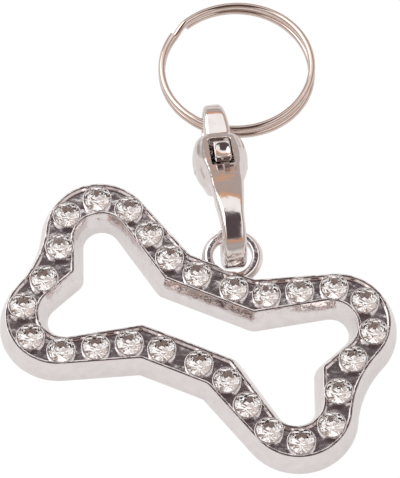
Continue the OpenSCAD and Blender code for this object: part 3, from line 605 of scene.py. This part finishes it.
# A stone's facets: table, star, kite and upper edge, then the back's mains and lower halves
def stoneShape():
    size, n = stoneCut, stoneCut["sides"]
    half = math.cos(math.pi / n)
    starHeight = 1 - (size["star"] * half - size["table"]) / (1 - size["table"])
    lowHeight = 1 - size["lower"] * half

    def ring(count, share, height, first=0.0):
        radius = size["diameter"] / 2
        return [(*(radius * share * heading(360 * (i + first) / count)), height) for i in range(count)]

    points = ring(n, size["table"], size["edge"] + size["crown"])
    points += ring(n, size["star"], size["edge"] + size["crown"] * starHeight, 0.5)
    points += ring(2 * n, 1, size["edge"]) + ring(2 * n, 1, 0)
    points += ring(n, size["lower"], -size["back"] * lowHeight, 0.5)
    points.append((0, 0, -size["back"]))
    star, high, low, under, tip = (n * k for k in (1, 2, 4, 6, 7))
    faces, backs = [list(range(n))], [False]
    for i in range(n):
        j, h = (i + 1) % n, (i - 1) % n
        g0, g1, g2 = 2 * i, 2 * i + 1, (2 * i + 2) % (2 * n)
        faces += [[i, star + i, j], [i, star + h, high + g0, star + i], [star + i, high + g0, high + g1],
                  [star + i, high + g1, high + g2], [high + g0, low + g0, low + g1, high + g1],
                  [high + g1, low + g1, low + g2, high + g2]]
        backs += [False] * 6
        faces += [[tip, under + i, low + g0, under + h], [under + i, low + g1, low + g0],
                  [under + i, low + g2, low + g1]]
        backs += [True] * 3
    shape = newMesh("stoneShape", points, faces)
    mark = shape.data.attributes.new("isBack", "BOOLEAN", "FACE")
    mark.data.foreach_set("value", backs)
    return shape


# A seat is a little wider and deeper than the stone in it, and open upward
def addSeats():
    size = stoneCut
    radius, top = size["diameter"] / 2 + size["gap"], boneSection["height"] + size["seatTop"]
    tip = edgeHeight - size["back"] - 2 * size["gap"]
    profile = [(0, tip), (radius, edgeHeight - size["gap"]), (radius, top), (0, top)]
    return setOnPlaces("seats", places, turnedShape("seatShape", profile, size["seatSides"]), {})


places = stonePlaces()
castFrame = addBoneFrame()
eyeletRing = cut(addEyelet(), addWallBlock())
castFrame = cut(castFrame, eyeletRing, "UNION")
castFrame = cut(castFrame, addEyeletBore())
castFrame = cut(castFrame, addSeats())
paint(castFrame, castPlate)
smoothFaces(castFrame, boneSection["sharp"])
finishPiece(castFrame, "tag", ["bone_frame"])

collarSize = {"outer": 1.5, "wall": 0.125, "rise": 0.06, "sunk": 0.6, "round": 0.05, "sides": 64, "sharp": 60}


def addCollars():
    size = collarSize
    top, foot = boneSection["height"] + size["rise"], boneSection["height"] - size["sunk"]
    outer, inner = size["outer"], size["outer"] - size["wall"]
    profile = roundedPath([(outer - size["wall"] / 2, foot, 0), (outer, foot, 0), (outer, top, size["round"]),
                           (inner, top, size["round"]), (inner, foot, 0)])
    shape = turnedShape("collarShape", profile, size["sides"], True)
    smoothFaces(shape, size["sharp"])
    return setOnPlaces("stoneCollars", places, shape, {"Finish": castPlate, "Back finish": castPlate})


finishPiece(addCollars(), "tag")

cutStones = setOnPlaces("cutStones", places + [0, 0, edgeHeight], stoneShape(), {
    "Turn": stoneCut["turn"], "Tilt": stoneCut["tilt"], "Seed": stoneCut["seed"],
    "Finish": crystalGlass, "Back finish": silverFoil})
finishPiece(cutStones, "tag", [f"stone_{i + 1:02d}" for i in range(len(places))])
print("bone, collars and stones are made")

# The clasp is drawn from its side: u runs from the bow to the eye, w is up, z is across. It is a
# cast shape of soft edges, so it is written as a field that is below zero inside the metal.
claspSize = {
    "bow": 4.1, "bar": 1.3, "barRound": 0.42, "crown": 0.09, "hookHalf": 1.2,  # the bar round the bow
    "brow": (-0.5, 0.3, 3.8), "chin": (0.1, 0.3, 4.4),  # the bow's two curves: u, w and radius
    "slope": (-0.5, 3.0, 0.306),  # where the back's slope starts and is full, and how steep it is
    "nose": 1.8, "noseRound": 0.5, "bodyEnd": 10.5,  # where the bar ends below and above
    # Changes of the half width: where each starts, where it is full, and by how much. The nose's
    # thinning runs out between the two places of noseOnly.
    "backGrow": (-1.0, 4.7, 0.575), "bodyGrow": (4.7, 8.0, 0.325), "endShrink": (8.6, 10.5, 0.3),
    "noseThin": (-2.5, 1.8, 0.38), "noseOnly": (3.4, 5.0), "tipShrink": (11.2, 15.0, 0.36),
    "cheek": (8.2, -0.6), "cheekRadius": 3.45, "cheekHalf": 2.875, "cheekRise": 1.6,
    "front": 3.57, "bodyInset": 0.14, "bodySunk": 0.22,  # the body's round front, and its steps back
    "eye": (12.47, -1.5), "eyeRadius": 2.55, "eyeRoot": (10.3, -1.25, 2.45), "eyeHalf": 1.385,
    "eyeHole": 1.4, "eyeFlare": 0.42, "eyeMouth": 0.43, "mouthRun": 0.3,
    "room": (3.4, 9.85), "roomHalf": 1.17, "roof": (1.3, 1.05), "floorFrom": 8.53,  # for the lever
    "slotFrom": 6.3, "notch": (5.0, 6.1, -0.03, 0.25), "pivot": (7.6, -0.9), "rivetBore": 0.61,
    "blend": 0.3, "cutRound": 0.12, "boreRound": 0.1,  # how softly shapes join, and cuts and bores
    "step": 0.08, "low": (-4.4, -4.4, -3.13), "high": (15.3, 4.4, 3.1), "sharp": 60,  # the grid
}


# The clasp's own place and axes in the tag's frame, from the places of its two joints
def claspToTag():
    across = jointAxis["clasp_swing"]
    start, reach = jointPlace["clasp_swing"], jointPlace["ring_swing"] - jointPlace["clasp_swing"]
    along, down = claspSize["eye"]
    forward = along * reach - down * np.cross(across, reach)
    forward = forward / np.linalg.norm(forward)
    return start, np.stack([forward, np.cross(across, forward), across])


claspStart, claspAxes = claspToTag()


def smoothMin(a, b, blend):
    return np.minimum(a, b) - np.maximum(blend - np.abs(a - b), 0) ** 2 / (4 * blend)


def smoothMax(a, b, blend):
    return -smoothMin(-a, -b, blend)


def easeStep(value, start, end):
    t = np.clip((value - start) / (end - start), 0, 1)
    return t * t * (3 - 2 * t)


# An amount that sets in softly between two places
def easedBy(value, change):
    start, end, amount = change
    return amount * easeStep(value, start, end)


# A bar with round edges from its two half sizes' distances
def roundedBar(first, second, edge):
    first, second = first + edge, second + edge
    return (np.minimum(np.maximum(first, second), 0)
            + np.hypot(np.maximum(first, 0), np.maximum(second, 0)) - edge)


# Distance to a straight bar whose half thickness changes from one end to the other
def taperBar(u, w, ends):
    (startU, startW, startHalf), (endU, endW, endHalf) = ends
    runU, runW = endU - startU, endW - startW
    share = np.clip(((u - startU) * runU + (w - startW) * runW) / (runU ** 2 + runW ** 2), 0, 1)
    away = np.hypot(u - startU - share * runU, w - startW - share * runW)
    return away - startHalf - share * (endHalf - startHalf)


# The clasp's side view is a bow and a body in one band: depth below zero is inside it. The belly is
# straight, the brow is a fuller curve, and the back slopes off from it more and more to a straight.
def bandDepth(u, w):
    size = claspSize
    far = math.hypot(*size["eye"])
    dirU, dirW = size["eye"][0] / far, size["eye"][1] / far
    along, above = u * dirU + w * dirW, w * dirU - u * dirW
    lean = (size["bow"] - size["eyeRadius"]) / far
    rise = math.sqrt(1 - lean * lean)
    (browU, browW, browRadius), (chinU, chinW, chinRadius) = size["brow"], size["chin"]
    brow, chin = np.hypot(u - browU, w - browW) - browRadius, np.hypot(u - chinU, w - chinW) - chinRadius
    bow = np.where(w > browW, brow, chin)
    belly = np.where(u < chinU, bow, -rise * above + lean * along - size["bow"])
    slopeFrom, slopeTo, steep = size["slope"]
    share, reach = np.clip((u - slopeFrom) / (slopeTo - slopeFrom), 0, 1), slopeTo - slopeFrom
    drop = steep * (reach * (share ** 3 - share ** 4 / 2) + np.maximum(u - slopeTo, 0))
    back = (w - browW - browRadius + drop) / np.hypot(1, steep * easeStep(u, slopeFrom, slopeTo))
    upper = np.where(u < browU, bow, back)
    return np.where(above > 0, upper, belly), along, above


# The hook's free end is thinner than its back, and the body is widest at the cheeks
def halfWidth(u, along, above):
    size = claspSize
    grown = sum(easedBy(u, size[name]) for name in ("backGrow", "bodyGrow"))
    half = size["hookHalf"] + grown - easedBy(u, size["endShrink"])
    thin = easedBy(along, size["noseThin"]) * (1 - easeStep(u, *size["noseOnly"]))
    return half - np.where(above < 0, thin, 0)


# The hook and the back are one bar round the bow, open below between the nose and the body
def hookBar(u, side, half, crowned, along, above):
    size = claspSize
    bar = roundedBar(np.abs(crowned + size["bar"] / 2) - size["bar"] / 2, side - half, size["barRound"])
    barEnd = np.where(above < 0, along - size["nose"], u - size["bodyEnd"])
    return smoothMax(bar, barEnd, size["noseRound"])


# The body fills the band from a round front on, and the cheeks are domed over it
def bodyAndCheeks(u, w, side, half, crowned):
    size = claspSize
    cheekU, cheekW = size["cheek"]
    ahead, under = np.minimum(u - cheekU, 0), np.minimum(w - cheekW, 0)
    front = np.maximum(np.hypot(ahead, under) - size["front"], u - size["bodyEnd"])
    outline = smoothMax(crowned + size["bodySunk"], front, size["blend"])
    body = roundedBar(outline, side - half + size["bodyInset"], size["barRound"])
    ballRadius = (size["cheekRadius"] ** 2 + size["cheekRise"] ** 2) / (2 * size["cheekRise"])
    lift = ballRadius - size["cheekHalf"]
    cheeks = np.sqrt((u - cheekU) ** 2 + (w - cheekW) ** 2 + (side + lift) ** 2) - ballRadius
    return body, smoothMax(cheeks, outline, size["blend"])


def eyeBar(u, w, side, crown):
    size = claspSize
    eye = taperBar(u, w, (size["eyeRoot"], (*size["eye"], size["eyeRadius"]))) + crown
    return roundedBar(eye, side - (size["eyeHalf"] - easedBy(u, size["tipShrink"])), size["noseRound"])


# The room for the lever, open in front and below, and the thumb slot over it
def leverRoom(u, w, side, depth):
    size = claspSize
    roomFrom, roomTo = size["room"]
    roof = size["roof"][0] + (size["roof"][1] - size["roof"][0]) * easeStep(u, roomFrom, roomTo)
    below = np.maximum(u - size["floorFrom"], w)
    room = np.maximum(np.maximum(roomFrom - u, u - roomTo), np.minimum(depth + roof, below))
    slot = np.maximum(np.maximum(size["slotFrom"] - u, u - roomTo), -w)
    return smoothMax(np.minimum(room, slot), side - size["roomHalf"], size["blend"])


def slotNotch(u, z, depth):
    notchFrom, notchTo, notchLeft, notchDeep = claspSize["notch"]
    outline = np.maximum(np.maximum(notchFrom - u, u - notchTo),
                         np.maximum(notchLeft - z, z - claspSize["roomHalf"]))
    return np.maximum(outline, -notchDeep - depth)


# The hole for the split ring, flared to both faces
def ringHole(u, w, side):
    size = claspSize
    wide = size["hookHalf"] + size["bodyInset"]
    flare = size["eyeFlare"] * np.minimum(side / wide, 1) ** 2
    mouth = size["eyeMouth"] * easeStep(side, wide, wide + size["mouthRun"])
    return np.hypot(u - size["eye"][0], w - size["eye"][1]) - (size["eyeHole"] + flare + mouth)


def claspField(u, w, z):
    size = claspSize
    side = np.abs(z)
    depth, along, above = bandDepth(u, w)
    crown = size["crown"] * (z / size["hookHalf"]) ** 2
    half = halfWidth(u, along, above)
    solid = hookBar(u, side, half, depth + crown, along, above)
    for part in bodyAndCheeks(u, w, side, half, depth + crown):
        solid = smoothMin(solid, part, size["blend"])
    solid = smoothMin(solid, eyeBar(u, w, side, crown), size["cutRound"])
    for hollow in (leverRoom(u, w, side, depth), slotNotch(u, z, depth), ringHole(u, w, side)):
        solid = smoothMax(solid, -hollow, size["cutRound"])
    bore = np.hypot(u - size["pivot"][0], w - size["pivot"][1]) - size["rivetBore"]
    return smoothMax(solid, -bore, size["boreRound"])


# How a field is meshed: rounds of evening out, pulls onto the surface in each round, the parts of a
# grid step that the slope is taken over, and the least slope that is reckoned with
fieldMesh = {"evenings": 3, "pulls": 2, "probeParts": 20, "leastSlope": 0.1}


# Each cell that the surface crosses gets a point, in the middle of where its edges are crossed
def cellPoints(value, step, start):
    cells = tuple(n - 1 for n in value.shape)
    total, count = np.zeros(cells + (3,)), np.zeros(cells)
    for axis in range(3):
        for corner in range(4):
            here = [corner & 1, corner >> 1]
            here.insert(axis, 0)
            there = [d + (k == axis) for k, d in enumerate(here)]
            first, last = (value[tuple(slice(d, d + n) for d, n in zip(shift, cells))]
                           for shift in (here, there))
            crossed = (first < 0) != (last < 0)
            total += crossed[..., None] * np.array(here)
            total[..., axis] += np.where(crossed, first / np.where(crossed, first - last, 1), 0)
            count += crossed
    used = count > 0
    index = np.full(cells, -1)
    index[used] = np.arange(used.sum())
    return (np.argwhere(used) + total[used] / count[used][:, None]) * step + start, index


# Each grid edge that the surface crosses gets a face between the points of the four cells round it
def cellFaces(value, index):
    cells, faces = index.shape, []
    for axis in range(3):
        inner = [slice(1, n) for n in cells]
        inner[axis] = slice(0, cells[axis])
        ahead = list(inner)
        ahead[axis] = slice(1, cells[axis] + 1)
        start, end = value[tuple(inner)] < 0, value[tuple(ahead)] < 0
        ring = []
        for backs in ((1, 1), (0, 1), (0, 0), (1, 0)):
            pick = list(inner)
            for k, back in zip(((axis + 1) % 3, (axis + 2) % 3), backs):
                pick[k] = slice(1 - back, cells[k] - back)
            ring.append(index[tuple(pick)])
        ring = np.stack(ring, -1)
        faces += [ring[start & ~end], ring[end & ~start][:, ::-1]]
    return np.vstack(faces)


# Pulls points onto the surface along the field's slope
def ontoField(field, points, reach):
    for _ in range(fieldMesh["pulls"]):
        slope = np.stack([field(*(points + reach * e).T) - field(*(points - reach * e).T)
                          for e in np.eye(3)], -1)
        slope = slope / (2 * reach)
        steepness = np.maximum((slope ** 2).sum(-1), fieldMesh["leastSlope"])
        points = points - (field(*points.T) / steepness)[:, None] * slope
    return points


# Meshes the surface where a field is zero, with its points evened out along the surface
def meshField(field, size):
    step = size["step"]
    axes = [np.arange(low, high + step, step) for low, high in zip(size["low"], size["high"])]
    value = field(*np.meshgrid(*axes, indexing="ij", sparse=True))
    points, index = cellPoints(value, step, size["low"])
    faces = cellFaces(value, index)
    links = np.vstack([faces[:, (k, (k + 1) % 4)] for k in range(4)])
    links = np.vstack([links, links[:, ::-1]])
    meets = np.bincount(links[:, 0], minlength=len(points))
    for _ in range(fieldMesh["evenings"]):
        ends = points[links[:, 1]]
        middle = np.stack([np.bincount(links[:, 0], ends[:, k], len(points)) for k in range(3)], -1)
        points = ontoField(field, middle / meets[:, None], step / fieldMesh["probeParts"])
    return points, faces


def addFieldPiece(name, field, size, material):
    points, faces = meshField(field, size)
    piece = newMesh(name, claspStart + points @ claspAxes, faces)
    paint(piece, material)
    smoothFaces(piece, size["sharp"])
    return piece


claspCasting = addFieldPiece("claspCasting", claspField, claspSize, claspPlate)
finishPiece(claspCasting, "clasp", ["clasp_body"])
print("clasp is made")

# The lever: a gate up to the nose, a hub on the rivet, a thumb knob with a dished top and a tail.
# A bar's two ends are u, w and half thickness, the knob is u, w and its two half sizes.
leverSize = {
    "half": 0.85, "edge": 0.16, "blend": 0.5, "pivot": claspSize["pivot"], "bore": 0.63, "hub": 1.15,
    "gate": ((1.9, -3.51, 0.52), (4.9, -3.5, 0.52)), "arm": ((4.9, -3.48, 0.52), (7.3, -1.2, 1.05)),
    "neck": ((7.5, -0.2, 1.0), (7.5, 2.0, 0.9)), "tail": ((8.2, -1.04, 0.42), (9.25, -1.04, 0.42)),
    "knob": (7.55, 2.66, 1.05, 0.78), "knobTilt": -8, "knobRound": 0.3, "dish": (7.5, 5.2, 2.0),
    "reach": 6.42, "gateThin": (2.5, 5.5, 0.28),
    "step": 0.06, "low": (0.7, -4.3, -1.1), "high": (10.1, 4.2, 1.1), "sharp": 60,
}


def leverField(u, w, z):
    size = leverSize
    fromPivot = np.hypot(u - size["pivot"][0], w - size["pivot"][1])
    shape = fromPivot - size["hub"]
    for part in ("gate", "arm", "neck", "tail"):
        shape = smoothMin(shape, taperBar(u, w, size[part]), size["blend"])
    tilt = heading(size["knobTilt"])
    midU, midW, halfU, halfW = size["knob"]
    acrossKnob = np.abs((u - midU) * tilt[0] + (w - midW) * tilt[1]) - halfU
    upKnob = np.abs((w - midW) * tilt[0] - (u - midU) * tilt[1]) - halfW
    shape = smoothMin(shape, roundedBar(acrossKnob, upKnob, size["knobRound"]), size["edge"])
    shape = smoothMax(shape, fromPivot - size["reach"], size["edge"])
    thinTo, thinFrom, thinBy = size["gateThin"]
    half = size["half"] - thinBy * (1 - easeStep(u, thinTo, thinFrom))
    solid = roundedBar(shape, np.abs(z) - half, size["edge"])
    dishU, dishW, dishRadius = size["dish"]
    dish = dishRadius - np.sqrt((u - dishU) ** 2 + (w - dishW) ** 2 + z ** 2)
    return np.maximum(smoothMax(solid, dish, size["edge"]), size["bore"] - fromPivot)


lever = addFieldPiece("thumbLever", leverField, leverSize, claspPlate)
finishPiece(lever, "trigger", ["trigger_lever"])
print("lever is made")


# A tree that sweeps a round wire along a path
def sweepTree():
    tree, start = newTree("wireAlongPath", {"Wire radius": "Float", "Sides": "Int", "Finish": "Material"})
    section = addNode(tree, "GeometryNodeCurvePrimitiveCircle", None, {
        "Resolution": start["Sides"], "Radius": start["Wire radius"]})
    wire = addNode(tree, "GeometryNodeCurveToMesh", None, {
        "Curve": start["Geometry"], "Profile Curve": section, "Fill Caps": True})
    whole = addNode(tree, "GeometryNodeRealizeInstances", None, {"Geometry": wire})
    painted = addNode(tree, "GeometryNodeSetMaterial", None, {"Geometry": whole, "Material": start["Finish"]})
    addNode(tree, "NodeGroupOutput", None, {0: painted})
    return tree


wireAlongPath = sweepTree()


def addWire(name, points, size, material):
    data = bpy.data.curves.new(name, "CURVE")
    data.dimensions = "3D"
    line = data.splines.new("POLY")
    line.points.add(len(points) - 1)
    line.points.foreach_set("co", np.column_stack([points * mm, np.ones(len(points))]).ravel())
    wire = runTree(newObject(name, data), wireAlongPath, {
        "Wire radius": size["wire"] / 2 * mm, "Sides": size["sides"], "Finish": material})
    smoothFaces(wire, size["sharp"])
    return wire


ringSize = {"wire": 0.716, "radius": 7.9, "pitch": 0.78, "spread": 0.78, "spreadAngle": 7, "jogAngle": 158,
            "jogHalf": 8, "turn": 5.6, "drop": 6.4, "lean": 2, "steps": 480, "sides": 28, "sharp": 40}


def turnAbout(axis, degrees):
    return np.array(Matrix.Rotation(math.radians(degrees), 3, axis))


# Twice round, stepping up by one turn between the wire's ends
def ringPath():
    size = ringSize
    jog = 2 * size["jogHalf"]
    run = np.linspace(0, 720 - jog, size["steps"])
    angle = np.radians(size["jogAngle"] - size["jogHalf"] - run)
    opened = ((1 + np.cos(angle - math.radians(size["spreadAngle"]))) / 2) ** 2
    step = np.clip((run - 360 + jog) / jog, 0, 1)
    level = -np.cos(np.pi * step) * (size["pitch"] + size["spread"] * opened) / 2
    flat = np.column_stack([size["radius"] * np.cos(angle), size["radius"] * (1 + np.sin(angle)), level])
    turn = turnAbout("Z", size["turn"]) @ turnAbout("Y", -size["lean"]) @ turnAbout("X", -size["drop"])
    return flat @ turn.T + jointPlace["ring_swing"]


finishPiece(addWire("splitRing", ringPath(), ringSize, nickelWire), "ring", ["split_ring"])

# The spring stands between the room's floor and the lever's tail
springSize = {"wire": 0.2, "radius": 0.4, "turns": 3.5, "along": 9.23, "low": -2.92, "high": -1.64,
              "steps": 140, "sides": 12, "sharp": 40, "pressed": 0.63}


def springPath():
    size = springSize
    angle = np.linspace(0, 2 * math.pi * size["turns"], size["steps"])
    level = np.linspace(size["low"], size["high"], size["steps"])
    side = np.column_stack([size["along"] + size["radius"] * np.cos(angle), level,
                            -size["radius"] * np.sin(angle)])
    return claspStart + side @ claspAxes


returnSpring = addWire("returnSpring", springPath(), springSize, nickelWire)
finishPiece(returnSpring, "clasp", ["trigger_spring"])
# The lever's tail presses the spring together as the trigger is pulled. Here the spring's foot on the room's
# floor is only found, and the spring gets a mesh of its own
springFoot = np.array([springSize["along"], springSize["low"] - springSize["wire"] / 2, 0])
springFoot = claspStart + springFoot @ claspAxes
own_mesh(returnSpring)
print("split ring and spring are made")

# The rivet's ends are peened to low domes, level with the cheeks
rivetSize = {"radius": 0.58, "half": 2.84, "dome": 0.12, "domeSteps": 6, "sides": 32, "sharp": 40}


def addRivet():
    size = rivetSize
    domed = []
    for i in range(size["domeSteps"] + 1):
        up, across = heading(90 * i / size["domeSteps"])
        domed.append((size["radius"] * across, size["half"] - size["dome"] * (1 - up)))
    rivet = turnedShape("leverRivet", [(x, -z) for x, z in domed] + domed[::-1], size["sides"])
    points = np.array([v.co[:] for v in rivet.data.vertices]) / mm + [*leverSize["pivot"], 0]
    rivet.data.vertices.foreach_set("co", ((claspStart + points @ claspAxes) * mm).ravel())
    paint(rivet, claspPlate)
    smoothFaces(rivet, size["sharp"])
    return rivet


finishPiece(addRivet(), "clasp", ["lever_rivet"])
print("rivet is made")
